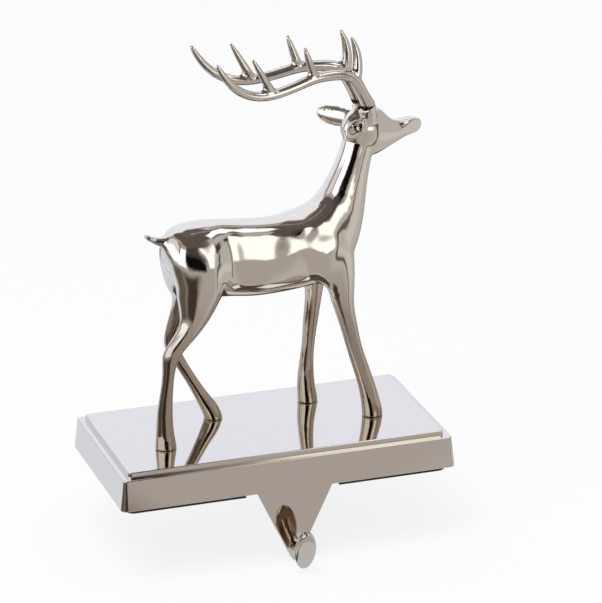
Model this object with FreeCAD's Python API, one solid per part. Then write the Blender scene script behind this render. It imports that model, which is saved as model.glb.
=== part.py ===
"""Mantel stocking holder: a polished stag on a stepped, weighted base with a hanging hook.

Frame, in millimetres: the underside of the foam pad, where it rests on the mantel shelf, is z = 0,
x runs along the shelf in the direction that the stag faces, and -y is the front, where the hook hangs.
"""
import FreeCAD
import Part
import math
import os

from FreeCAD import Vector

# Stepped base casting
BASE_LENGTH = 165.0
BASE_DEPTH = 83.5
APRON_HEIGHT = 15.0
APRON_FLARE = 1.6
APRON_FOOT_RADIUS = 3.0
APRON_TOP_RADIUS = 1.6
APRON_EDGE_ROUND = 0.5
APRON_FOOT_ROUND = 0.4
STEP_LEDGE = 2.95
STEP_FLARE = 0.35
STEP_HEIGHT = 2.5
STEP_RADIUS = 1.4
STEP_EDGE_ROUND = 0.5
APRON_WALL = 5.5
TOP_THICKNESS = 5.5
CAVITY_RADIUS = 4.0

# Foam pad glued under the base, notched behind the tongue
PAD_THICKNESS = 2.6
PAD_SETBACK = 3.6
PAD_RADIUS = 4.0
PAD_NOTCH_MARGIN = 4.6
PAD_NOTCH_DEPTH = 8.0

# Ballast plate that closes the underside
BALLAST_THICKNESS = 5.0
BALLAST_CLEARANCE = 0.5
BALLAST_POST_DIAMETER = 9.0
BALLAST_POST_INSET = 9.0
BALLAST_SCREW_DIAMETER = 4.0
BALLAST_SCREW_HEAD = 7.6
BALLAST_SCREW_GRIP = 5.0

# Screws that come up through the base into the hooves
HOOF_BOSS_DIAMETER = 9.0
HOOF_BOSS_DROP = 3.0
HOOF_SCREW_DIAMETER = 3.0
HOOF_SCREW_HEAD = 5.6
HOOF_SCREW_HEAD_HEIGHT = 2.0
HOOF_SCREW_CHAMFER = 0.6
HOOF_SCREW_GRIP = 5.0
THREAD_CLEARANCE = 0.1
SHANK_CLEARANCE = 0.25

# Tongue that hangs in front of the shelf, and the hook on it
TONGUE_X = 2.0
TONGUE_TOP_WIDTH = 37.0
TONGUE_DROP = 36.6
TONGUE_TIP_RADIUS = 1.8
TONGUE_THICKNESS = 4.0
TONGUE_EDGE_ROUND = 0.35
HOOK_ROOT_DROP = 28.9
HOOK_ARM_WIDTH = 5.4
HOOK_ARM_HEIGHT = 4.2
HOOK_ARM_TAPER = (1.25, 1.12, 0.96, 1.0)
HOOK_REACH = 15.0
HOOK_RISE = 7.2
HOOK_SWEEP = 0.36
HOOK_DISC_WIDTH = 10.2
HOOK_DISC_LENGTH = 20.8
HOOK_DISC_THICKNESS = 3.2
HOOK_DISC_ROUND = 1.1
HOOK_DISC_LEAN = 15.0
HOOK_DISC_SAG = 3.6

# Place of the stag on the step: its middle plane is turned a little to the back at the head
STAG_X = 0.0
STAG_Y = 2.25
STAG_TURN = 4.4

# Body and neck in one, from the rump to the skull, each section given by its point on the line of the
# back (x, z), its point on the line of the belly and chest (x, z) and its half width, z from the step
BODY = [
    (-49.4, 96.2, -49.4, 90.4, 2.4),
    (-47.8, 100.6, -47.8, 84.4, 6.8),
    (-43.8, 103.9, -43.8, 78.2, 10.4),
    (-37.6, 105.6, -37.6, 72.0, 12.2),
    (-29.0, 105.9, -29.0, 67.7, 12.2),
    (-18.0, 104.9, -18.0, 66.5, 12.6),
    (-6.0, 103.3, -6.0, 64.9, 13.8),
    (6.0, 102.6, 7.0, 64.7, 13.8),
    (13.6, 103.1, 17.0, 65.0, 13.2),
    (19.4, 104.0, 27.0, 66.2, 13.0),
    (23.6, 105.5, 36.0, 69.0, 12.8),
    (26.8, 107.4, 43.0, 74.0, 12.4),
    (29.2, 109.8, 47.3, 81.4, 11.9),
    (31.0, 112.2, 50.0, 89.4, 11.1),
    (32.6, 114.6, 51.6, 97.4, 10.2),
    (34.2, 117.2, 52.5, 105.2, 9.2),
    (36.0, 120.4, 53.4, 112.6, 8.3),
    (38.6, 125.8, 54.5, 119.9, 7.6),
    (41.0, 131.9, 56.2, 127.1, 7.1),
    (43.5, 138.5, 57.7, 134.4, 6.6),
]
# Other sections of the stag, each (x, y, z, half width across, half height), z from the step
HEAD = [
    (41.6, 0.0, 139.0, 2.6, 3.4),
    (43.8, 0.0, 139.4, 5.2, 7.2),
    (47.6, 0.0, 139.6, 6.9, 10.2),
    (53.0, 0.0, 139.0, 7.5, 11.6),
    (58.4, 0.0, 137.6, 6.9, 11.4),
    (63.4, 0.0, 137.2, 5.5, 8.3),
    (68.4, 0.0, 137.1, 4.3, 5.3),
    (73.6, 0.0, 138.1, 3.6, 4.1),
    (78.0, 0.0, 138.6, 3.4, 3.6),
    (80.6, 0.0, 138.5, 2.4, 2.5),
    (81.4, 0.0, 138.4, 0.9, 1.0),
]
TAIL = [
    (-45.0, 0.0, 97.4, 3.4, 3.4),
    (-49.6, 0.0, 98.0, 3.0, 2.7),
    (-53.6, 0.0, 99.5, 2.4, 2.0),
    (-56.6, 0.0, 101.2, 1.5, 1.2),
    (-58.4, 0.0, 102.6, 0.5, 0.4),
]
# Swelling muscles over the tops of the legs, on the left side, from the back downwards
HAUNCH = [
    (-37.6, 5.2, 100.0, 2.0, 4.0),
    (-37.6, 5.8, 98.0, 5.2, 8.0),
    (-37.6, 6.4, 93.2, 7.8, 10.4),
    (-37.4, 6.9, 87.0, 8.8, 10.8),
    (-36.8, 7.8, 79.6, 8.2, 9.8),
    (-36.4, 8.6, 72.6, 6.4, 8.2),
    (-36.2, 9.4, 67.0, 3.4, 4.8),
]
SHOULDER = [
    (25.4, 5.0, 99.6, 2.4, 4.4),
    (25.8, 5.7, 97.4, 5.8, 9.6),
    (26.4, 6.4, 92.4, 8.4, 13.0),
    (27.6, 7.0, 86.0, 9.2, 13.0),
    (29.4, 7.8, 79.0, 8.0, 10.8),
    (31.0, 8.6, 73.0, 5.8, 8.0),
    (32.0, 9.2, 68.8, 2.8, 4.4),
]
# Legs, from inside the body down to the sole: half width is across, half height fore and aft
RIGHT_HIND_LEG = [
    (-35.4, -6.2, 88.0, 3.4, 5.4),
    (-34.2, -7.6, 80.0, 7.8, 11.2),
    (-35.4, -8.8, 71.4, 7.0, 11.0),
    (-37.9, -10.0, 63.6, 5.6, 7.9),
    (-41.4, -11.0, 56.8, 4.5, 5.2),
    (-46.8, -11.7, 50.6, 3.7, 4.2),
    (-50.6, -12.1, 45.0, 3.3, 4.0),
    (-51.9, -12.3, 38.6, 2.9, 3.1),
    (-53.0, -12.4, 29.0, 2.7, 3.0),
    (-54.1, -12.4, 18.0, 3.2, 3.7),
    (-54.2, -12.4, 9.0, 3.9, 4.2),
    (-54.0, -12.4, 4.0, 4.3, 4.7),
    (-53.8, -12.4, 0.0, 4.6, 5.1),
]
LEFT_HIND_LEG = [
    (-35.4, 6.2, 88.0, 3.4, 5.4),
    (-33.2, 7.6, 80.0, 7.6, 10.8),
    (-33.6, 9.0, 71.4, 6.8, 9.4),
    (-34.6, 10.2, 63.6, 5.2, 6.4),
    (-36.8, 11.2, 56.0, 4.2, 4.9),
    (-39.4, 11.9, 48.6, 3.6, 4.1),
    (-40.7, 12.2, 41.6, 3.2, 3.7),
    (-38.6, 12.3, 35.2, 2.8, 3.0),
    (-34.4, 12.4, 27.4, 2.6, 2.7),
    (-29.4, 12.4, 18.6, 2.7, 2.8),
    (-25.0, 12.4, 10.8, 3.2, 3.4),
    (-21.6, 12.4, 4.8, 3.9, 4.1),
    (-19.9, 12.4, 0.0, 4.3, 4.6),
]
RIGHT_FORE_LEG = [
    (30.0, -6.6, 90.0, 3.2, 4.8),
    (33.6, -8.2, 82.0, 6.8, 10.0),
    (35.6, -9.6, 73.0, 5.8, 8.4),
    (36.4, -10.8, 65.0, 4.8, 6.5),
    (37.4, -11.8, 57.0, 4.0, 5.0),
    (39.6, -12.8, 46.6, 3.4, 4.1),
    (42.2, -13.4, 35.6, 3.1, 3.7),
    (45.6, -13.8, 24.6, 3.2, 3.8),
    (48.6, -14.0, 14.6, 3.6, 4.1),
    (50.5, -14.1, 6.4, 4.2, 4.6),
    (51.4, -14.1, 0.0, 4.5, 5.0),
]
LEFT_FORE_LEG = [
    (28.0, 6.6, 90.0, 3.2, 4.8),
    (29.8, 8.2, 82.0, 6.8, 9.2),
    (31.0, 9.8, 72.0, 5.6, 7.2),
    (31.9, 11.2, 62.6, 4.4, 5.1),
    (31.9, 12.2, 53.6, 3.7, 4.0),
    (31.0, 13.0, 43.0, 3.3, 3.6),
    (29.9, 13.6, 30.0, 2.9, 3.1),
    (29.0, 13.9, 18.0, 3.2, 3.6),
    (28.9, 14.0, 10.0, 3.8, 4.2),
    (29.5, 14.1, 4.0, 4.3, 4.7),
    (29.9, 14.1, 0.0, 4.5, 4.9),
]

LEGS = (RIGHT_HIND_LEG, LEFT_HIND_LEG, RIGHT_FORE_LEG, LEFT_FORE_LEG)

# Ear, on the left side: from the root out to the tip, thin across its cup
EAR = [
    (50.0, 4.8, 142.6, 2.2, 3.6),
    (46.4, 8.0, 143.4, 2.1, 4.5),
    (43.0, 11.0, 143.9, 2.0, 4.8),
    (40.0, 13.6, 144.4, 1.8, 4.5),
    (37.6, 15.8, 144.9, 1.4, 3.5),
    (36.0, 17.2, 145.2, 0.7, 1.9),
]
EAR_CUP_SHIFT = (0.75, 0.45, 1.2)
EAR_CUP_SHARE = 0.72

# Antler on the left side: half width and half height are equal along a round beam
ANTLER_BEAM = [
    (52.1, 5.4, 152.4, 3.4),
    (50.6, 5.6, 155.6, 3.0),
    (47.6, 5.8, 161.4, 2.8),
    (44.4, 6.2, 166.6, 2.7),
    (39.6, 7.0, 169.8, 2.5),
    (32.6, 8.0, 170.8, 2.35),
    (24.4, 9.0, 170.8, 2.3),
    (16.0, 10.2, 169.2, 2.2),
    (7.4, 11.4, 167.4, 2.1),
    (-1.6, 12.6, 166.6, 2.05),
    (-9.8, 13.6, 168.0, 1.95),
    (-16.8, 14.4, 171.6, 1.85),
    (-22.4, 15.1, 177.0, 1.55),
    (-26.0, 15.5, 182.2, 1.1),
    (-27.8, 15.7, 185.6, 0.5),
]
BROW_TINE = [
    (45.0, 6.1, 166.8, 2.6),
    (46.2, 6.0, 172.4, 2.2),
    (46.0, 6.0, 178.0, 1.8),
    (44.8, 6.1, 183.0, 1.25),
    (43.0, 6.3, 187.2, 0.5),
]
MIDDLE_TINE = [
    (23.4, 9.1, 170.4, 2.1),
    (21.2, 9.5, 176.4, 1.7),
    (19.4, 9.9, 181.8, 1.2),
    (17.9, 10.2, 186.4, 0.5),
]
REAR_TINE = [
    (1.0, 12.2, 167.0, 2.0),
    (-2.8, 12.5, 173.6, 1.65),
    (-6.2, 12.9, 179.6, 1.2),
    (-9.2, 13.2, 185.0, 0.5),
]
PEDICLE_RADIUS = 3.6
PEDICLE_ROOT = [
    (53.6, 0.6, 141.6, 5.6),
    (52.9, 3.2, 147.2, 4.9),
]
TENON_DIAMETER = 3.6
TENON_LENGTH = 4.0
TENON_CLEARANCE = 0.1

# Points that an oval section is drawn through, and how far parts of one casting run into each other
RING_POINTS = 8
OVERLAP = 0.5

# Levels that follow from the sizes above
APRON_FOOT = PAD_THICKNESS
LEDGE_LEVEL = APRON_FOOT + APRON_HEIGHT
STEP_TOP = LEDGE_LEVEL + STEP_HEIGHT
CAVITY_TOP = STEP_TOP - TOP_THICKNESS
BALLAST_TOP = APRON_FOOT + BALLAST_THICKNESS
BOSS_FOOT = CAVITY_TOP - HOOF_BOSS_DROP
FRONT_FACE = -BASE_DEPTH / 2
TONGUE_TIP_LEVEL = APRON_FOOT - TONGUE_DROP


def rounded_rectangle(length, depth, radius, level):
    """Closed wire of a rectangle with round corners, lying at the given level."""
    corners = []
    for x_side, y_side, start in ((1, 1, 0), (-1, 1, 90), (-1, -1, 180), (1, -1, 270)):
        middle = Vector(x_side * (length / 2 - radius), y_side * (depth / 2 - radius), level)
        corners.append(Part.makeCircle(radius, middle, Vector(0, 0, 1), start, start + 90))
    edges = []
    for this, following in zip(corners, corners[1:] + corners[:1]):
        edges.append(this)
        edges.append(Part.makeLine(this.Vertexes[1].Point, following.Vertexes[0].Point))
    return Part.Wire(edges)


def rounded_slab(length, depth, radius, level, height):
    """Upright slab with round corners."""
    outline = Part.Face(rounded_rectangle(length, depth, radius, level))
    return outline.extrude(Vector(0, 0, height))


def cylinder_up(diameter, height, x, y, level):
    return Part.makeCylinder(diameter / 2, height, Vector(x, y, level))


def stag_placement():
    """Stands the stag's own frame on the step and turns it."""
    return FreeCAD.Placement(
        Vector(STAG_X, STAG_Y, STEP_TOP),
        FreeCAD.Rotation(Vector(0, 0, 1), STAG_TURN),
    )


def hoof_points():
    """Middle of each sole on the step, taken from the last section of each leg."""
    placement = stag_placement()
    return [placement.multVec(Vector(*leg[-1][:3])) for leg in LEGS]


def ballast_screw_points():
    """Corner posts that the ballast plate is screwed to."""
    x_post = BASE_LENGTH / 2 - APRON_WALL - BALLAST_POST_INSET
    y_post = BASE_DEPTH / 2 - APRON_WALL - BALLAST_POST_INSET
    return [(x_side * x_post, y_side * y_post) for x_side in (-1, 1) for y_side in (-1, 1)]


def ring(middle, along, half_width, half_height, across=Vector(0, 1, 0)):
    """Closed smooth oval square to the direction along, its width lying across."""
    side = across - along * along.dot(across)
    side.normalize()
    upward = along.cross(side)
    points = []
    for place in range(RING_POINTS):
        angle = 2 * math.pi * place / RING_POINTS - math.pi / 2
        point = middle + side * (half_width * math.cos(angle)) + upward * (half_height * math.sin(angle))
        points.append(point)
    curve = Part.BSplineCurve()
    curve.interpolate(Points=points, PeriodicFlag=True, Parameters=list(range(RING_POINTS + 1)))
    return Part.Wire(curve.toShape())


def limb(sections, flat_end=False):
    """Solid lofted through oval sections, each square to the line through their middles."""
    middles = [Vector(*section[:3]) for section in sections]
    rings = []
    last = len(middles) - 1
    for place, section in enumerate(sections):
        along = middles[min(place + 1, last)] - middles[max(place - 1, 0)]
        if flat_end and place == last:
            along = Vector(0, 0, -1)
        along.normalize()
        half_width = section[3]
        half_height = section[-1]
        rings.append(ring(middles[place], along, half_width, half_height))
    return Part.makeLoft(rings, True, False)


def make_body():
    """Body and neck lofted through ovals that stand between the back's line and the belly's."""
    rings = []
    for back_x, back_z, belly_x, belly_z, half_width in BODY:
        back = Vector(back_x, 0, back_z)
        belly = Vector(belly_x, 0, belly_z)
        upright = back - belly
        along = Vector(0, 1, 0).cross(upright)
        along.normalize()
        rings.append(ring((back + belly) / 2, along, half_width, upright.Length / 2))
    return Part.makeLoft(rings, True, False)


def mirrored(sections):
    """The same sections on the other side of the stag's middle plane."""
    return [(section[0], -section[1]) + tuple(section[2:]) for section in sections]


def ear(sections, side):
    """Cupped ear: a leaf with a smaller leaf taken out of its open face."""
    leaf = limb(sections)
    forward, outward, upward = EAR_CUP_SHIFT
    hollow_sections = []
    for x, y, z, half_width, half_height in sections[1:]:
        middle = (x + forward, y + side * outward, z + upward)
        hollow_sections.append(middle + (half_width * EAR_CUP_SHARE, half_height * EAR_CUP_SHARE))
    return leaf.cut(limb(hollow_sections))


def antler_seat(side):
    """Middle of the flat seat that the antler stands on."""
    x, y, z = ANTLER_BEAM[0][:3]
    return Vector(x, side * y, z)


def antler_axis(side):
    """Direction in which the antler leaves its seat."""
    x, y, z = ANTLER_BEAM[1][:3]
    along = Vector(x, side * y, z) - antler_seat(side)
    along.normalize()
    return along


def pedicle(side):
    """Post that rises out of the skull to the flat seat of the antler."""
    along = antler_axis(side)
    rings = []
    for x, y, z, radius in PEDICLE_ROOT:
        rings.append(ring(Vector(x, side * y, z), along, radius, radius))
    rings.append(ring(antler_seat(side), along, PEDICLE_RADIUS, PEDICLE_RADIUS))
    return Part.makeLoft(rings, True, False)


def tenon(side, diameter, length):
    """Round peg that goes down into the skull from the antler's seat."""
    return Part.makeCylinder(diameter / 2, length, antler_seat(side), -antler_axis(side))


def make_stag():
    """Body, neck, head, ears, tail and legs, cast as one piece."""
    additions = [limb(HEAD), limb(TAIL)]
    for leg in LEGS:
        muscle = HAUNCH if leg[0][0] < 0 else SHOULDER
        if leg[0][1] < 0:
            muscle = mirrored(muscle)
        additions.append(limb(leg, flat_end=True).fuse(limb(muscle)))
    additions.extend([ear(EAR, 1), ear(mirrored(EAR), -1)])
    additions.extend([pedicle(1), pedicle(-1)])
    body = make_body()
    for addition in additions:
        body = body.fuse(addition)
    for side in (1, -1):
        socket = tenon(side, TENON_DIAMETER + 2 * TENON_CLEARANCE, TENON_LENGTH + TENON_CLEARANCE)
        body = body.cut(socket)
    for leg in LEGS:
        sole_x, sole_y, sole_z = leg[-1][:3]
        bore = HOOF_SCREW_DIAMETER + 2 * THREAD_CLEARANCE
        body = body.cut(cylinder_up(bore, HOOF_SCREW_GRIP + THREAD_CLEARANCE, sole_x, sole_y, sole_z))
    body.Placement = stag_placement()
    return body


def make_antler(side):
    """Beam and three tines with a tenon at the root, cast apart from the stag."""
    rows = [ANTLER_BEAM, BROW_TINE, MIDDLE_TINE, REAR_TINE]
    if side < 0:
        rows = [mirrored(row) for row in rows]
    beam = limb(rows[0])
    additions = [limb(row) for row in rows[1:]]
    additions.append(tenon(side, TENON_DIAMETER, TENON_LENGTH))
    antler = beam.fuse(additions)
    antler.Placement = stag_placement()
    return antler


def make_tongue():
    """Pointed plate under the front of the apron, with a round tip and softened front edges."""
    tip_middle = TONGUE_TIP_LEVEL + TONGUE_TIP_RADIUS
    top = APRON_FOOT + APRON_FOOT_ROUND
    half_top = TONGUE_TOP_WIDTH / 2
    run = top - tip_middle
    reach = math.hypot(half_top, run)
    lean = math.atan2(run, half_top) - math.asin(TONGUE_TIP_RADIUS / reach)
    touch = Vector(TONGUE_TIP_RADIUS * math.sin(lean), 0, -TONGUE_TIP_RADIUS * math.cos(lean))
    front = Vector(TONGUE_X, FRONT_FACE, 0)
    left_top = front + Vector(-half_top, 0, top)
    right_top = front + Vector(half_top, 0, top)
    tip = front + Vector(0, 0, tip_middle)
    left_low = tip + Vector(-touch.x, 0, touch.z)
    right_low = tip + touch
    bottom = front + Vector(0, 0, TONGUE_TIP_LEVEL)
    outline = Part.Wire([
        Part.makeLine(left_top, left_low),
        Part.Arc(left_low, bottom, right_low).toShape(),
        Part.makeLine(right_low, right_top),
        Part.makeLine(right_top, left_top),
    ])
    tongue = Part.Face(outline).extrude(Vector(0, TONGUE_THICKNESS, 0))
    front_edges = [edge for edge in tongue.Edges
                   if edge.BoundBox.YMax < FRONT_FACE + 0.01 and edge.BoundBox.ZMin < APRON_FOOT]
    return tongue.makeFillet(TONGUE_EDGE_ROUND, front_edges)


def make_hook():
    """Arm that rises forward from the tongue, and the oval disc at its end."""
    root = Vector(TONGUE_X, FRONT_FACE, APRON_FOOT - HOOK_ROOT_DROP)
    end = root + Vector(0, -HOOK_REACH, HOOK_RISE)
    lean = math.radians(HOOK_DISC_LEAN)
    outward = Vector(0, -math.cos(lean), -math.sin(lean))
    inside = root + Vector(0, TONGUE_THICKNESS / 2, 0)
    halfway = root + Vector(0, -HOOK_REACH / 2, HOOK_RISE * HOOK_SWEEP)
    places = [inside, root, halfway, end]
    last = len(places) - 1
    rings = []
    for place, share in enumerate(HOOK_ARM_TAPER):
        along = places[min(place + 1, last)] - places[max(place - 1, 0)]
        along.normalize()
        half_width = share * HOOK_ARM_WIDTH / 2
        half_height = share * HOOK_ARM_HEIGHT / 2
        rings.append(ring(places[place], along, half_width, half_height, Vector(1, 0, 0)))
    arm = Part.makeLoft(rings, True, False)
    oval = Part.Ellipse(Vector(0, 0, 0), HOOK_DISC_LENGTH / 2, HOOK_DISC_WIDTH / 2).toShape()
    disc = Part.Face(Part.Wire(oval)).extrude(Vector(0, 0, HOOK_DISC_THICKNESS))
    rims = [edge for edge in disc.Edges if edge.Curve.TypeId == "Part::GeomEllipse"]
    disc = disc.makeFillet(HOOK_DISC_ROUND, rims)
    long_way = Vector(0, -math.sin(lean), math.cos(lean))
    rotation = FreeCAD.Rotation(long_way, outward.cross(long_way), outward, "ZXY")
    back_middle = end - long_way * HOOK_DISC_SAG - outward * (HOOK_DISC_THICKNESS / 2)
    disc.Placement = FreeCAD.Placement(back_middle, rotation)
    return arm, disc


def make_base():
    """Stepped casting, hollow below, with posts, bosses, tongue and hook in one piece."""
    foot = rounded_rectangle(BASE_LENGTH, BASE_DEPTH, APRON_FOOT_RADIUS, APRON_FOOT)
    ledge_length = BASE_LENGTH - 2 * APRON_FLARE
    ledge_depth = BASE_DEPTH - 2 * APRON_FLARE
    ledge = rounded_rectangle(ledge_length, ledge_depth, APRON_TOP_RADIUS, LEDGE_LEVEL)
    apron = Part.makeLoft([foot, ledge], True, True)
    top_edges = [edge for edge in apron.Edges if edge.BoundBox.ZMin > LEDGE_LEVEL - 0.01]
    apron = apron.makeFillet(APRON_EDGE_ROUND, top_edges)
    foot_edges = [edge for edge in apron.Edges if edge.BoundBox.ZMax < APRON_FOOT + 0.01]
    apron = apron.makeFillet(APRON_FOOT_ROUND, foot_edges)
    step_length = ledge_length - 2 * STEP_LEDGE
    step_depth = ledge_depth - 2 * STEP_LEDGE
    step = Part.makeLoft([
        rounded_rectangle(step_length, step_depth, STEP_RADIUS + STEP_FLARE, LEDGE_LEVEL - OVERLAP),
        rounded_rectangle(step_length - 2 * STEP_FLARE, step_depth - 2 * STEP_FLARE, STEP_RADIUS, STEP_TOP),
    ], True, True)
    rim_edges = [edge for edge in step.Edges if edge.BoundBox.ZMin > STEP_TOP - 0.01]
    step = step.makeFillet(STEP_EDGE_ROUND, rim_edges)
    cavity = rounded_slab(BASE_LENGTH - 2 * APRON_WALL, BASE_DEPTH - 2 * APRON_WALL, CAVITY_RADIUS,
                          APRON_FOOT, CAVITY_TOP - APRON_FOOT)
    shell = apron.fuse(step).cut(cavity)
    additions = [make_tongue()]
    additions.extend(make_hook())
    post_height = CAVITY_TOP - BALLAST_TOP + OVERLAP
    for x, y in ballast_screw_points():
        additions.append(cylinder_up(BALLAST_POST_DIAMETER, post_height, x, y, BALLAST_TOP))
    for point in hoof_points():
        boss = cylinder_up(HOOF_BOSS_DIAMETER, HOOF_BOSS_DROP + OVERLAP, point.x, point.y, BOSS_FOOT)
        additions.append(boss)
    casting = shell.fuse(additions)
    post_bore = BALLAST_SCREW_DIAMETER + 2 * THREAD_CLEARANCE
    post_bore_depth = BALLAST_SCREW_GRIP + THREAD_CLEARANCE
    for x, y in ballast_screw_points():
        casting = casting.cut(cylinder_up(post_bore, post_bore_depth, x, y, BALLAST_TOP))
    boss_bore = HOOF_SCREW_DIAMETER + 2 * SHANK_CLEARANCE
    for point in hoof_points():
        casting = casting.cut(cylinder_up(boss_bore, STEP_TOP - BOSS_FOOT, point.x, point.y, BOSS_FOOT))
    return casting.removeSplitter()


def countersunk_head(x, y, level, diameter, shank):
    """Cone that widens downwards to the level, as deep as it is wider than the shank."""
    depth = (diameter - shank) / 2
    return Part.makeCone(diameter / 2, shank / 2, depth, Vector(x, y, level))


def make_ballast():
    """Steel plate that fits up into the base, with countersunk holes."""
    length = BASE_LENGTH - 2 * APRON_WALL - 2 * BALLAST_CLEARANCE
    depth = BASE_DEPTH - 2 * APRON_WALL - 2 * BALLAST_CLEARANCE
    plate = rounded_slab(length, depth, CAVITY_RADIUS, APRON_FOOT, BALLAST_THICKNESS)
    for x, y in ballast_screw_points():
        bore = BALLAST_SCREW_DIAMETER + 2 * SHANK_CLEARANCE
        head = BALLAST_SCREW_HEAD + 2 * SHANK_CLEARANCE
        plate = plate.cut(cylinder_up(bore, BALLAST_THICKNESS, x, y, APRON_FOOT))
        plate = plate.cut(countersunk_head(x, y, APRON_FOOT, head, bore))
    return plate


def make_ballast_screws():
    """Four countersunk screws, flush with the plate, up into the posts."""
    screws = []
    for x, y in ballast_screw_points():
        length = BALLAST_THICKNESS + BALLAST_SCREW_GRIP
        shank = cylinder_up(BALLAST_SCREW_DIAMETER, length, x, y, APRON_FOOT)
        head = countersunk_head(x, y, APRON_FOOT, BALLAST_SCREW_HEAD, BALLAST_SCREW_DIAMETER)
        screws.append(shank.fuse(head))
    return Part.makeCompound(screws)


def make_hoof_screws():
    """Four pan-head screws that hold the stag, one into each hoof."""
    screws = []
    for point in hoof_points():
        length = STEP_TOP - BOSS_FOOT + HOOF_SCREW_GRIP
        shank = cylinder_up(HOOF_SCREW_DIAMETER, length, point.x, point.y, BOSS_FOOT)
        head = cylinder_up(HOOF_SCREW_HEAD, HOOF_SCREW_HEAD_HEIGHT, point.x, point.y,
                           BOSS_FOOT - HOOF_SCREW_HEAD_HEIGHT)
        rim = [edge for edge in head.Edges if edge.BoundBox.ZMax < BOSS_FOOT - HOOF_SCREW_HEAD_HEIGHT / 2]
        head = head.makeChamfer(HOOF_SCREW_CHAMFER, rim)
        screws.append(shank.fuse(head))
    return Part.makeCompound(screws)


def make_foam_pad():
    """Closed-cell foam under the ballast plate and rim, notched behind the tongue."""
    length = BASE_LENGTH - 2 * PAD_SETBACK
    depth = BASE_DEPTH - 2 * PAD_SETBACK
    pad = rounded_slab(length, depth, PAD_RADIUS, 0.0, PAD_THICKNESS)
    notch_width = TONGUE_TOP_WIDTH + 2 * PAD_NOTCH_MARGIN
    notch = Part.makeBox(notch_width, PAD_NOTCH_DEPTH, PAD_THICKNESS,
                         Vector(TONGUE_X - notch_width / 2, -depth / 2, 0.0))
    return pad.cut(notch)


def main():
    os.makedirs("parts", exist_ok=True)
    pieces = {
        "base_casting": make_base(),
        "ballast_plate": make_ballast(),
        "ballast_screws": make_ballast_screws(),
        "foam_pad": make_foam_pad(),
        "stag_casting": make_stag(),
        "hoof_screws": make_hoof_screws(),
        "antler_left": make_antler(1),
        "antler_right": make_antler(-1),
    }
    for name, shape in pieces.items():
        print(name, "solids", len(shape.Solids), "valid", shape.isValid(), "volume", round(shape.Volume, 1))
        shape.exportStep("parts/" + name + ".step")


main()
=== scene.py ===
"""Looks of the mantel stocking holder: polished nickel castings over a black foam pad.

Lengths are in metres, in the part's own frame, apart from the stag's sizes, which are in millimetres
from the middle of the step's top, in the stag's own frame (x forward, y to its left, z up).
"""
import math

import bmesh
import bpy
from mathutils import Matrix, Vector


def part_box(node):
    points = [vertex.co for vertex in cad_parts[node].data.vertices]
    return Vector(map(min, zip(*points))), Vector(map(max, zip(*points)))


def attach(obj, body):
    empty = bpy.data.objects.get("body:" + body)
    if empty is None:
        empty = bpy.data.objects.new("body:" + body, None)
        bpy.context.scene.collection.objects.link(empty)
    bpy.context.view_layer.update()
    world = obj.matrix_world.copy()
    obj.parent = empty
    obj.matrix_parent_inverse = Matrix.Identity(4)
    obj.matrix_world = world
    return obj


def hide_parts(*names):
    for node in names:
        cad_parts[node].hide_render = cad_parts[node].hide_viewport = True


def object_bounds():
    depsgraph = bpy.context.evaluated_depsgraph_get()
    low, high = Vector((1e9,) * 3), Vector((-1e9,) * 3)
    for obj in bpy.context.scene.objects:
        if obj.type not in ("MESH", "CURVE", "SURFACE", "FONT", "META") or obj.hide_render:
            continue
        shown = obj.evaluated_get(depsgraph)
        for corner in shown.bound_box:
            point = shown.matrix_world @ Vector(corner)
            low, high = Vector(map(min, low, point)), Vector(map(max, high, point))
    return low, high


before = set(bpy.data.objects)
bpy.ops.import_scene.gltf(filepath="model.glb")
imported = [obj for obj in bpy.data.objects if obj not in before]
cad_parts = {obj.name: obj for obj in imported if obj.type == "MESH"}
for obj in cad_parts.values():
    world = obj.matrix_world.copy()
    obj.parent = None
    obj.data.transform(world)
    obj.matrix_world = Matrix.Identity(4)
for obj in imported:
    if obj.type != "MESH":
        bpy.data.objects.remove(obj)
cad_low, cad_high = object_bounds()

# ---- Base casting ----
# The stepped base, its tongue and its hook are one hollow casting, ground flat, plated with nickel
# and buffed to a mirror. The disc's face is a little crowned. Its back and the arm behind it are
# painted dark brown, which is painted shade between the disc and the tongue.
# The imported casting already has its true faces and rolled edges.
NICKEL_COLOUR = (0.70, 0.65, 0.585, 1.0)
NICKEL_ROUGHNESS = 0.045
HAZE_ROUGHNESS = 0.03
HAZES_PER_METRE = 70.0
PLAIN_EDGE = (1.0, 1.0, 1.0, 1.0)
FLATS_WAVE_SIZE = 0.030
FLATS_WAVE_HEIGHT = 0.00008
DISC_MIDDLE = (0.0020, -0.0558, -0.0226)
DISC_LEAN = math.radians(15.0)
DISC_HALF_WIDTH = 0.0051
DISC_HALF_LENGTH = 0.0104
DISC_CROWN = 0.00010
DISC_ROLL = 0.00050
DISC_ROLL_START = 0.62
DISC_ROLL_END = 1.02
DISC_FACE_FROM = (0.0002, 0.0010)
DISC_BACK_UNTIL = (-0.0014, -0.0006)
ARM_START = -0.0432
ARM_FADE = 0.0005
# painted shade on the hook's arm and the disc's back
SHADE_BEHIND_DISC_COLOUR = (0.33, 0.225, 0.155, 1.0)


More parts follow.
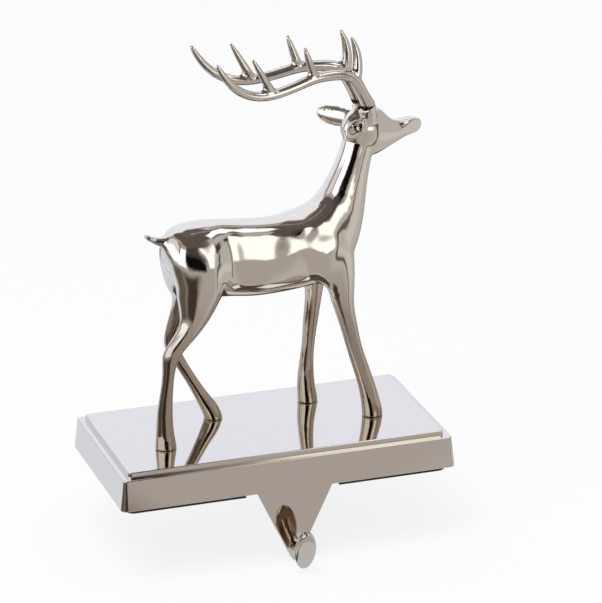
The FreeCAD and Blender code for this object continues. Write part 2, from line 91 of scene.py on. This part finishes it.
class Shade:
    """One output socket of a node tree, so that shader maths is written as an expression."""

    def __init__(self, tree, socket=None):
        self.tree = tree
        self.socket = socket

    def node(self, kind, output=0, settings=None, sockets=None):
        """Adds a node with these settings and socket values, and gives one of its outputs."""
        made = self.tree.nodes.new(kind)
        for name, value in (settings or {}).items():
            setattr(made, name, value)
        for name, value in (sockets or {}).items():
            if isinstance(value, Shade):
                self.tree.links.new(value.socket, made.inputs[name])
            else:
                made.inputs[name].default_value = value
        return Shade(self.tree, made.outputs[output])

    def beside(self, output):
        """Another output of the same node."""
        return Shade(self.tree, self.socket.node.outputs[output])

    def math(self, operation, *values):
        return self.node("ShaderNodeMath", 0, {"operation": operation}, dict(enumerate(values)))

    def __add__(self, other):
        return self.math("ADD", self, other)

    def __radd__(self, other):
        return self.math("ADD", other, self)

    def __sub__(self, other):
        return self.math("SUBTRACT", self, other)

    def __rsub__(self, other):
        return self.math("SUBTRACT", other, self)

    def __mul__(self, other):
        return self.math("MULTIPLY", self, other)

    def __rmul__(self, other):
        return self.math("MULTIPLY", other, self)

    def __truediv__(self, other):
        return self.math("DIVIDE", self, other)

    def __neg__(self):
        return self.math("SUBTRACT", 0.0, self)

    def root(self):
        return self.math("SQRT", self)

    def rise(self, start, end):
        """0 before start, 1 past end, with a smooth step between them."""
        return self.node("ShaderNodeMapRange", 0, {"interpolation_type": "SMOOTHSTEP"},
                         {"Value": self, "From Min": start, "From Max": end})

    def window(self, low, high, soft):
        """1 between low and high, fading to 0 over the soft distance round each limit."""
        return self.rise(low - soft, low + soft) * (1.0 - self.rise(high - soft, high + soft))

    def blend(self, first, second):
        """Mixes two colours by this factor. The Mix node's colours are inputs 6 and 7 and output 2."""
        return self.node("ShaderNodeMix", 2, {"data_type": "RGBA"}, {0: self, 6: first, 7: second})


def new_material(name):
    """A material with an empty tree, and the tree's starting point."""
    material = bpy.data.materials.new(name)
    material.use_nodes = True
    material.node_tree.nodes.clear()
    return material, Shade(material.node_tree)


def finish_surface(shade, surface, output_kind="ShaderNodeOutputMaterial"):
    """Connects the finished shader to the output of its tree."""
    output = shade.tree.nodes.new(output_kind)
    shade.tree.links.new(surface.socket, output.inputs["Surface"])


def dress_node(node, material):
    """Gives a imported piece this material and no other."""
    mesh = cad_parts[node].data
    mesh.materials.clear()
    mesh.materials.append(material)


def polished_nickel(name, wave_size, wave_height, colour_of, relief_of=None, edge=PLAIN_EDGE):
    """Mirror-bright nickel plate whose buffed surface is very slightly wavy.

    colour_of and relief_of give the plate's colour and its cast relief at a place.
    """
    material, shade = new_material(name)
    place = shade.node("ShaderNodeTexCoord", "Object")
    wave = shade.node("ShaderNodeTexNoise", "Fac", None,
                      {"Vector": place, "Scale": 1.0 / wave_size, "Detail": 1.0, "Roughness": 0.4})
    haze = shade.node("ShaderNodeTexNoise", "Fac", None,
                      {"Vector": place, "Scale": HAZES_PER_METRE, "Detail": 3.0, "Roughness": 0.55})
    height = wave * wave_height
    if relief_of:
        height = height + relief_of(place)
    relief = shade.node("ShaderNodeBump", 0, None, {"Strength": 1.0, "Distance": 1.0, "Height": height})
    metal = shade.node("ShaderNodeBsdfPrincipled", 0, None,
                       {"Base Color": colour_of(place), "Metallic": 1.0, "Specular Tint": edge,
                        "Roughness": NICKEL_ROUGHNESS + HAZE_ROUGHNESS * haze, "Normal": relief})
    finish_surface(shade, metal)
    return material


def parts_of(vector):
    """The x, y and z of a vector."""
    split = vector.node("ShaderNodeSeparateXYZ", 0, None, {0: vector})
    return [split.beside(axis) for axis in range(3)]


def on_the_disc(place):
    """Distances across and along the hook's leaning disc, and out from its middle plane."""
    x, y, z = parts_of(place)
    y = y - DISC_MIDDLE[1]
    z = z - DISC_MIDDLE[2]
    return (x - DISC_MIDDLE[0],
            z * math.cos(DISC_LEAN) - y * math.sin(DISC_LEAN),
            -(z * math.sin(DISC_LEAN)) - y * math.cos(DISC_LEAN))


def disc_crown(place):
    """Height of the hook's disc, whose face is crowned and rolls over at its rim."""
    across, along, out_of_the_face = on_the_disc(place)
    across = across / DISC_HALF_WIDTH
    along = along / DISC_HALF_LENGTH
    from_middle = (across * across + along * along).root()
    crown = DISC_CROWN * from_middle * from_middle
    roll = DISC_ROLL * from_middle.rise(DISC_ROLL_START, DISC_ROLL_END)
    return out_of_the_face.rise(*DISC_FACE_FROM) * -(crown + roll)


def painted_shade_behind_disc(place):
    """Painted shade: the arm and the disc's back, which face the tongue, are painted dark brown."""
    out_of_the_face = on_the_disc(place)[2]
    forward_of_tongue = 1.0 - parts_of(place)[1].rise(ARM_START - ARM_FADE, ARM_START + ARM_FADE)
    shaded_behind = forward_of_tongue * (1.0 - out_of_the_face.rise(*DISC_BACK_UNTIL))
    return shaded_behind.blend(NICKEL_COLOUR, SHADE_BEHIND_DISC_COLOUR)


dress_node("base_casting", polished_nickel(
    "nickel_on_flats", FLATS_WAVE_SIZE, FLATS_WAVE_HEIGHT, painted_shade_behind_disc, disc_crown))

# ---- Stag casting ----
# Body, neck, head, ears, tail and legs are one casting, so the limbs run into the body in soft
# fillets. Haunch, ribs and shoulder swell a little, the muzzle is filed to flat sides, and the
# whole is nickel plated and buffed. The plate is painted browner low down, on the slender legs,
# which is painted shade.
STAG_TURN = math.radians(4.4)
STAG_Y = 0.00225
CASTING_VOXEL = 0.00062
SMOOTHING_ROUNDS = 10
SHRINK_STEP = 0.5
REGROW_STEP = -0.52
FILE_SHARES = (1.0, 0.9, 0.8)
BODY_MIDDLE = (0.0, 0.0, 88.0)
BODY_RADII = (60.0, 40.0, 33.0)
ROUGH_ROUNDS = 22
SWELLINGS = (
    # middle, radii and push: haunch, from its front half back, the groove before it and the croup
    ((-25.0, 14.0, 84.0), (13.0, 20.0, 20.0), 1.7),
    ((-32.0, 15.0, 77.0), (18.0, 20.0, 18.0), 0.8),
    ((-30.0, 14.0, 88.0), (12.0, 20.0, 16.0), 1.3),
    ((-28.0, 13.0, 93.0), (8.0, 20.0, 16.0), 0.9),
    ((-19.0, 13.0, 90.0), (6.0, 20.0, 14.0), -0.6),
    ((-14.0, 13.0, 90.0), (8.0, 20.0, 14.0), 0.4),
    ((-35.0, 9.0, 102.0), (14.0, 20.0, 8.0), 1.3),
    # ribs, which are flatter above
    ((-8.0, 13.0, 93.0), (24.0, 20.0, 10.0), -0.7),
    ((5.0, 13.0, 93.0), (12.0, 20.0, 9.0), -0.4),
    # shoulder, and the root of the neck above it
    ((12.0, 13.0, 90.0), (13.0, 20.0, 16.0), 1.3),
    ((26.0, 13.0, 94.0), (10.0, 20.0, 10.0), -1.5),
    ((40.0, 12.0, 90.0), (7.0, 20.0, 14.0), 0.4),
    ((26.0, 8.0, 101.0), (15.0, 20.0, 13.0), 2.4),
    ((15.5, 10.0, 100.5), (6.0, 20.0, 7.0), 1.8),
    ((21.0, 10.0, 101.0), (8.0, 20.0, 7.0), 0.8),
)
FINE_ROUNDS = 9
THIGH_MIDDLE = (-40.0, 0.0, 74.0)
THIGH_RADII = (18.0, 30.0, 20.0)
THIGH_ROUNDS = 6
MUZZLE_START = 55.0
MUZZLE_BLEND = 20.0
MUZZLE_MIDDLE = 138.2
MUZZLE_REACH = 12.0
MUZZLE_TALLNESS = 1.6
MUZZLE_TALLNESS_LOST = 0.5
MUZZLE_SQUARENESS = 5
MUZZLE_SIDE_START = 66.0
MUZZLE_HALF_WIDTH = 4.75
MUZZLE_NARROWING = 0.215
# painted shade: the plate is browner below the first height and plain above the second
LEG_SHADE_COLOUR = (0.44, 0.37, 0.30, 1.0)
LEG_SHADE_FULL_BELOW = 0.060
LEG_SHADE_GONE_ABOVE = 0.100
CAST_WAVE_SIZE = 0.020
CAST_WAVE_HEIGHT = 0.00006

step_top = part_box("stag_casting")[0].z
stag_stand = (Matrix.Translation((0.0, STAG_Y, step_top)) @ Matrix.Rotation(STAG_TURN, 4, "Z")
              @ Matrix.Scale(0.001, 4))


def merged_copy(node):
    """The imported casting's mesh with its loose triangles joined."""
    form = bmesh.new()
    form.from_mesh(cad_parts[node].data)
    bmesh.ops.remove_doubles(form, verts=form.verts, dist=1e-6)
    return form


def in_stag_frame(form):
    """Each vertex of the bmesh with its place in the stag's own frame."""
    to_stag = stag_stand.inverted()
    return [(vert, to_stag @ vert.co) for vert in form.verts]


def soften(form, middle, radii, rounds):
    """Blends the shapes that lie in an oval region, as a file and a buffing wheel do."""
    for share in FILE_SHARES:
        inside = []
        for vert, place in in_stag_frame(form):
            offset = place - Vector(middle)
            if Vector(offset[axis] / (share * radii[axis]) for axis in range(3)).length < 1.0:
                inside.append(vert)
        for _ in range(rounds):
            bmesh.ops.smooth_vert(form, verts=inside, factor=0.5,
                                  use_axis_x=True, use_axis_y=True, use_axis_z=True)


def swell(form, middle, radii, push):
    """Pushes the surface outwards in y by a smooth swelling that fades to nothing at the radii."""
    turned = stag_stand.to_3x3()
    for vert, place in in_stag_frame(form):
        for side in (-1, 1):
            offset = place - Vector((middle[0], side * middle[1], middle[2]))
            far = Vector(offset[axis] / radii[axis] for axis in range(3)).length_squared
            if far < 1.0:
                vert.co += turned @ Vector((0.0, side * push * (1.0 - far) ** 2, 0.0))


def relax(form, share):
    """Moves every vertex by this share of the way to the middle of its neighbours."""
    targets = []
    for vert in form.verts:
        middle = Vector()
        for edge in vert.link_edges:
            middle += edge.other_vert(vert).co
        targets.append(vert.co.lerp(middle / len(vert.link_edges), share))
    for vert, target in zip(form.verts, targets):
        vert.co = target


def square_off(form):
    """Files the muzzle's top and sides flat, so that it is a rounded box that narrows to the nose."""
    turned = stag_stand.to_3x3()
    for vert, place in in_stag_frame(form):
        if place.x > MUZZLE_START and abs(place.z - MUZZLE_MIDDLE) < MUZZLE_REACH:
            along = min((place.x - MUZZLE_START) / MUZZLE_BLEND, 1.0)
            wide = abs(place.y) * (MUZZLE_TALLNESS - MUZZLE_TALLNESS_LOST * along)
            high = abs(place.z - MUZZLE_MIDDLE)
            # the last term keeps the middle of the muzzle from a division by zero
            box = (wide ** MUZZLE_SQUARENESS + high ** MUZZLE_SQUARENESS + 1e-9) ** (1.0 / MUZZLE_SQUARENESS)
            corner = math.hypot(wide, high) / box
            growth = (corner - 1.0) * along * along * (3.0 - 2.0 * along)
            side = MUZZLE_HALF_WIDTH - MUZZLE_NARROWING * (place.x - MUZZLE_SIDE_START)
            trim = max(-side, min(side, place.y)) - place.y if place.x > MUZZLE_SIDE_START else 0.0
            vert.co += turned @ Vector((0.0, trim, growth * (place.z - MUZZLE_MIDDLE)))


def fused(form, voxel, fillet=0.0, kept=0.0):
    """One skin of even small faces over everything in the bmesh, its inner corners filled by the fillet.

    The skin is grown by the fillet and taken back again, apart from the thickness that is kept.
    """
    mesh = bpy.data.meshes.new("rough")
    form.to_mesh(mesh)
    form.free()
    rough = bpy.data.objects.new("rough", mesh)
    bpy.context.scene.collection.objects.link(rough)
    growths = [0.0] if fillet == 0.0 else [fillet, kept - fillet]
    for growth in growths:
        fuse = rough.modifiers.new("fuse", "REMESH")
        fuse.mode = "VOXEL"
        fuse.voxel_size = voxel
        if growth:
            grow = rough.modifiers.new("grow", "DISPLACE")
            grow.mid_level = 0.0
            grow.strength = growth
    graph = bpy.context.evaluated_depsgraph_get()
    skin = bpy.data.meshes.new_from_object(rough.evaluated_get(graph))
    bpy.data.objects.remove(rough)
    form = bmesh.new()
    form.from_mesh(skin)
    bpy.data.meshes.remove(skin)
    return form


def buffed(form, name, rounds, material):
    """Smooths the skin without shrinking it and makes it a piece of the holder."""
    for _ in range(rounds):
        for step in (SHRINK_STEP, REGROW_STEP):
            relax(form, step)
    mesh = bpy.data.meshes.new(name)
    form.to_mesh(mesh)
    form.free()
    mesh.shade_smooth()
    mesh.materials.append(material)
    piece = bpy.data.objects.new(name, mesh)
    bpy.context.scene.collection.objects.link(piece)
    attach(piece, "root")
    return piece


def painted_shade_on_legs(place):
    """Painted shade: the plate is painted browner towards the bottom, on the legs, and fades to plain nickel
    higher up.
    """
    up = parts_of(place)[2]
    return up.rise(LEG_SHADE_FULL_BELOW, LEG_SHADE_GONE_ABOVE).blend(LEG_SHADE_COLOUR, NICKEL_COLOUR)


stag_form = fused(merged_copy("stag_casting"), CASTING_VOXEL)
soften(stag_form, BODY_MIDDLE, BODY_RADII, ROUGH_ROUNDS)
for middle, radii, push in SWELLINGS:
    swell(stag_form, middle, radii, push)
soften(stag_form, BODY_MIDDLE, BODY_RADII, FINE_ROUNDS)
soften(stag_form, THIGH_MIDDLE, THIGH_RADII, THIGH_ROUNDS)
square_off(stag_form)
cast_nickel = polished_nickel("nickel_on_castings", CAST_WAVE_SIZE, CAST_WAVE_HEIGHT, painted_shade_on_legs)
stag = buffed(stag_form, "stag", SMOOTHING_ROUNDS, cast_nickel)
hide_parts("stag_casting")

# ---- Antlers ----
# Each antler is a casting of its own, with small webs where its tines leave the beam. A tenon at
# its foot is glued into the head, and a dark line of glue shows in the joint.
ANTLER_VOXEL = 0.00040
ANTLER_FILLET = 0.0015
ANTLER_KEPT = 0.00022
ANTLER_ROUNDS = 5
ANTLER_EDGE = (0.30, 0.26, 0.23, 1.0)
ANTLER_SEAT_HEIGHT = step_top + 0.1524
GLUE_TOP = (0.0006, 0.0014)
GLUE_COLOUR = (0.06, 0.045, 0.035, 1.0)


def dark_foot(place):
    """The glue's dark line round the antler's foot, and bright plate above it."""
    above_seat = parts_of(place)[2] - ANTLER_SEAT_HEIGHT
    return above_seat.rise(*GLUE_TOP).blend(GLUE_COLOUR, NICKEL_COLOUR)


antler_nickel = polished_nickel("nickel_on_antlers", CAST_WAVE_SIZE, CAST_WAVE_HEIGHT, dark_foot,
                                edge=ANTLER_EDGE)
for side_name in ("left", "right"):
    antler_form = fused(merged_copy("antler_" + side_name), ANTLER_VOXEL, ANTLER_FILLET, ANTLER_KEPT)
    antler = buffed(antler_form, "antler_skin_" + side_name, ANTLER_ROUNDS, antler_nickel)
    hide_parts("antler_" + side_name)

# ---- Foam pad ----
# A thin sheet of black closed-cell foam is glued under the base, so that the holder doesn't slide
# on the shelf or scratch it. Its cut cells show as fine pores.
FOAM_CELLS_PER_METRE = 1500.0
FOAM_DARK = (0.012, 0.012, 0.013, 1.0)
FOAM_LIGHT = (0.035, 0.034, 0.035, 1.0)
FOAM_ROUGHNESS = 0.9
PORE_DEPTH = 0.0002
PORE_STRENGTH = 0.6

foam, shade = new_material("black_foam")
place = shade.node("ShaderNodeTexCoord", "Object")
cells = shade.node("ShaderNodeTexVoronoi", "Distance", None, {"Vector": place, "Scale": FOAM_CELLS_PER_METRE})
pores = shade.node("ShaderNodeBump", 0, None,
                   {"Strength": PORE_STRENGTH, "Distance": PORE_DEPTH, "Height": cells})
finish_surface(shade, shade.node("ShaderNodeBsdfPrincipled", 0, None, {
    "Base Color": cells.blend(FOAM_DARK, FOAM_LIGHT), "Roughness": FOAM_ROUGHNESS, "Normal": pores}))
dress_node("foam_pad", foam)

# ---- Ballast plate and screws ----
# Plain zinc-plated steel, hidden inside the base: the plate closes the hollow casting, and the
# screws hold it and the stag's hooves.
SPANGLES_PER_METRE = 250.0
STEEL_DARK = (0.42, 0.42, 0.43, 1.0)
STEEL_LIGHT = (0.58, 0.58, 0.60, 1.0)
STEEL_ROUGHNESS = 0.3
SPANGLE_ROUGHNESS = 0.15

steel, shade = new_material("zinc_plated_steel")
place = shade.node("ShaderNodeTexCoord", "Object")
spangle = shade.node("ShaderNodeTexNoise", "Fac", None,
                     {"Vector": place, "Scale": SPANGLES_PER_METRE, "Detail": 2.0})
finish_surface(shade, shade.node("ShaderNodeBsdfPrincipled", 0, None, {
    "Base Color": spangle.blend(STEEL_DARK, STEEL_LIGHT), "Metallic": 1.0,
    "Roughness": STEEL_ROUGHNESS + SPANGLE_ROUGHNESS * spangle}))
for node in ("ballast_plate", "ballast_screws", "hoof_screws"):
    dress_node(node, steel)

# ---- Studio ----
# A pale floor just under the hook, and a tent of cloth and cards round the holder that only the
# metal sees: a taupe table, a pale rear wall, soft boxes to both sides and the dark camera opening.
FLOOR_GAP = 0.0010
FLOOR_SIZE = 8.0
FLOOR_PLAINNESS = 0.85
FLOOR_PAPER = (0.95, 0.95, 0.95, 1.0)
TENT_RADIUS = 0.36
TENT_HEIGHT = 0.112
SWAYS_PER_METRE = 2.2
SWAY_ROUND = 5.0
SWAY_HIGH = 4.0
WHITE = (1.0, 1.0, 1.0, 1.0)
AIR_LIGHT = 0.55
LAMP_PLACE = (-0.7, -0.5, 1.9)
LAMP_TARGET = (0.0, 0.0, 0.05)
LAMP_WIDTH = 1.4
LAMP_WATTS = 22.0

# The cloth and the rear wall under the cards: degrees round from the front or above level, and
# the colour that the metal shows (0-255).
CLOTH = (163, 153, 144)
RIGHT_CLOTH_LIMITS = (38, 112, 12)
RIGHT_CLOTH = (178, 170, 161)
REAR_FROM = (108, 134)
REAR_WALL_FROM = (-14, -2)
REAR_WALL = (221, 220, 225)
REAR_TOP_FROM = (29, 38)
REAR_TOP = (229, 226, 225)
REAR_TABLE = (150, 141, 132)

# Cards in the order they are hung, each over the last: limits and softness in degrees round from
# the front, the same above level, the colour that the metal shows (0-255), and the brightness.
# Limits past 90 degrees up or past 180 degrees round leave a card open on that side.
CARDS = (
    # low walls: left end, right rear corner, and the table's dark edge to the left
    ((-168, -106, 5), (-56, -18, 5), (203, 202, 203), 1.0),
    ((114, 170, 6), (-200, -29, 5), (56, 47, 42), 1.0),
    ((-60, -8, 6), (-46, -14, 5), (112, 100, 88), 1.0),
    ((-106, -60, 6), (-46, -14, 5), (92, 81, 69), 1.0),
    ((-46, -12, 3), (-40, -17, 4), (60, 51, 43), 1.0),
    # pale card low to the right, and the sheet under the hook with its dark edge
    ((56, 84, 4), (-24, -6, 3), (194, 186, 177), 1.0),
    ((-40, 60, 5), (-84, -63, 1), (180, 175, 169), 1.0),
    ((-14, -6, 1.5), (-74, -58, 2), (84, 76, 70), 1.0),
    # soft box to the left, its greyer upper part and its frame
    ((-106, -30, 3), (-6, 37, 3), (255, 253, 247), 1.1),
    ((-106, -68, 3), (23, 39, 3), (208, 201, 200), 1.0),
    ((-71, -66, 1), (21, 41, 3), (99, 95, 90), 1.0),
    # dark roof over the front, the ceiling, and the hood over the camera
    ((-125, 98, 5), (46, 200, 3), (88, 79, 71), 1.0),
    ((-400, 400, 1), (71, 200, 3), (96, 87, 79), 1.0),
    ((-34, 46, 5), (34, 60, 3), (84, 76, 72), 1.0),
    ((35, 50, 3), (37, 50, 2), (172, 163, 153), 1.0),
    # slot of light high to the right, the rail under it and the cream soft box in front
    ((47, 88, 4), (50, 62.5, 1.5), (255, 253, 255), 1.1),
    ((20, 58, 4), (27, 35, 1.5), (60, 52, 44), 1.0),
    ((18, 42, 3), (2, 38, 3), (255, 250, 236), 1.1),
    # seams of the cloth
    ((48.5, 53, 1.2), (-40, 26, 6), (92, 82, 70), 1.0),
    ((-115, -107, 1.5), (-30, 44, 6), (112, 106, 100), 1.0),
    # the camera's opening and the shade over it
    ((-28, 12, 4), (20, 42, 6), (70, 61, 57), 1.0),
    ((-26, 6, 3), (-5, 25, 5), (16, 12, 11), 1.0),
)

floor_level = cad_low.z - FLOOR_GAP


def light_seen_as(red, green, blue, strength=1.0):
    """The light that shows as this 0-255 colour once nickel has reflected it."""
    light = []
    for value, metal in zip((red, green, blue), NICKEL_COLOUR):
        share = value / 255.0
        linear = share / 12.92 if share <= 0.04045 else ((share + 0.055) / 1.055) ** 2.4
        light.append(strength * linear / metal)
    return (*light, 1.0)


def staged(form, name, material):
    """Makes the bmesh a piece of the studio, which is no part of the holder."""
    mesh = bpy.data.meshes.new(name)
    form.to_mesh(mesh)
    form.free()
    thing = bpy.data.objects.new(name, mesh)
    bpy.context.scene.collection.objects.link(thing)
    mesh.materials.append(material)
    return thing


def seen_directly(shade):
    """1 for rays from the camera, a mirror or a pane, which see the plain background."""
    from_camera = shade.node("ShaderNodeLightPath", "Is Camera Ray")
    from_mirror = from_camera.beside("Is Glossy Ray")
    from_pane = from_camera.beside("Is Transmission Ray")
    return shade.math("MAXIMUM", from_camera, shade.math("MAXIMUM", from_mirror, from_pane))


paper, shade = new_material("pale_floor")
plain = shade.node("ShaderNodeEmission", 0, None, {"Color": WHITE, "Strength": 1.0})
lit = shade.node("ShaderNodeBsdfDiffuse", 0, None, {"Color": FLOOR_PAPER})
finish_surface(shade, shade.node("ShaderNodeMixShader", 0, None,
                                 {0: seen_directly(shade) * FLOOR_PLAINNESS, 1: lit, 2: plain}))
form = bmesh.new()
bmesh.ops.create_grid(form, x_segments=1, y_segments=1, size=FLOOR_SIZE,
                      matrix=Matrix.Translation((0, 0, floor_level)))
staged(form, "floor", paper)

cloth, shade = new_material("tent_cloth")
place = shade.node("ShaderNodeTexCoord", "Object")
right, back, up = parts_of(place)
reach = (right * right + back * back).root()
round_about = shade.math("DEGREES", shade.math("ARCTAN2", right, -back))
above = shade.math("DEGREES", shade.math("ARCTAN2", up - TENT_HEIGHT, reach))
at_rear = shade.math("ABSOLUTE", round_about).rise(*REAR_FROM)

sway = shade.node("ShaderNodeTexNoise", "Fac", None,
                  {"Vector": place, "Scale": SWAYS_PER_METRE, "Detail": 1.0}) - 0.5
round_about = round_about + SWAY_ROUND * sway
above = above + SWAY_HIGH * sway

colour = light_seen_as(*CLOTH)
colour = round_about.window(*RIGHT_CLOTH_LIMITS).blend(colour, light_seen_as(*RIGHT_CLOTH))
colour = (at_rear * above.rise(*REAR_WALL_FROM)).blend(colour, light_seen_as(*REAR_WALL))
colour = (at_rear * above.rise(*REAR_TOP_FROM)).blend(colour, light_seen_as(*REAR_TOP))
colour = (at_rear * (1.0 - above.rise(*REAR_WALL_FROM))).blend(colour, light_seen_as(*REAR_TABLE))
for round_limits, high_limits, seen, brightness in CARDS:
    where = round_about.window(*round_limits) * above.window(*high_limits)
    colour = where.blend(colour, light_seen_as(*seen, brightness))
finish_surface(shade, shade.node("ShaderNodeEmission", 0, None, {"Color": colour, "Strength": 1.0}))
cloth.cycles.emission_sampling = "NONE"

form = bmesh.new()
bmesh.ops.create_uvsphere(form, u_segments=96, v_segments=48, radius=TENT_RADIUS,
                          matrix=Matrix.Translation((0, 0, TENT_HEIGHT)))
sheet_level = (floor_level + cad_low.z) / 2
cut = bmesh.ops.bisect_plane(form, geom=form.verts[:] + form.edges[:] + form.faces[:],
                             plane_co=(0, 0, sheet_level), plane_no=(0, 0, 1), clear_inner=True)
rim = [edge for edge in cut["geom_cut"] if isinstance(edge, bmesh.types.BMEdge)]
bmesh.ops.contextual_create(form, geom=rim)
tent = staged(form, "tent", cloth)
tent.visible_camera = False
tent.visible_diffuse = False
tent.visible_shadow = False
tent.visible_volume_scatter = False

world = bpy.data.worlds.new("studio_air")
world.use_nodes = True
world.node_tree.nodes.clear()
shade = Shade(world.node_tree)
air = shade.node("ShaderNodeBackground", 0, None, {
    "Color": WHITE, "Strength": AIR_LIGHT + (1.0 - AIR_LIGHT) * seen_directly(shade)})
finish_surface(shade, air, "ShaderNodeOutputWorld")
bpy.context.scene.world = world

lamp = bpy.data.lights.new("key_lamp", "AREA")
lamp.shape = "DISK"
lamp.size = LAMP_WIDTH
lamp.energy = LAMP_WATTS
key = bpy.data.objects.new("key_lamp", lamp)
key.location = LAMP_PLACE
key.rotation_euler = (Vector(LAMP_TARGET) - key.location).to_track_quat("-Z", "Y").to_euler()
key.visible_glossy = False
bpy.context.scene.collection.objects.link(key)

# ---- Camera ----
# The camera stands in front, to the left and above, at a long focal length, where the sight lines
# along the base's edges put it.
CAMERA_PLACE = (-0.524889, -1.588668, 0.718411 + step_top)
CAMERA_RIGHT = (0.94609667, -0.32388439, 0.0)
CAMERA_UP = (0.1183463, 0.34570062, 0.93085189)
CAMERA_FORWARD = (0.3014884, 0.88067586, -0.36539673)
SENSOR = 36.0
FOCAL_PIXELS = 3824.2
FRAME_PIXELS = 603.0

camera_data = bpy.data.cameras.new("camera")
camera_data.sensor_width = SENSOR
camera_data.lens = SENSOR * FOCAL_PIXELS / FRAME_PIXELS
camera_data.clip_start = 0.1
camera_data.clip_end = 50.0
camera = bpy.data.objects.new("camera", camera_data)
turned = Matrix((CAMERA_RIGHT, CAMERA_UP, [-value for value in CAMERA_FORWARD])).transposed().to_4x4()
camera.matrix_world = Matrix.Translation(CAMERA_PLACE) @ turned
bpy.context.scene.collection.objects.link(camera)
bpy.context.scene.camera = camera

bpy.context.scene.view_settings.view_transform = "Standard"
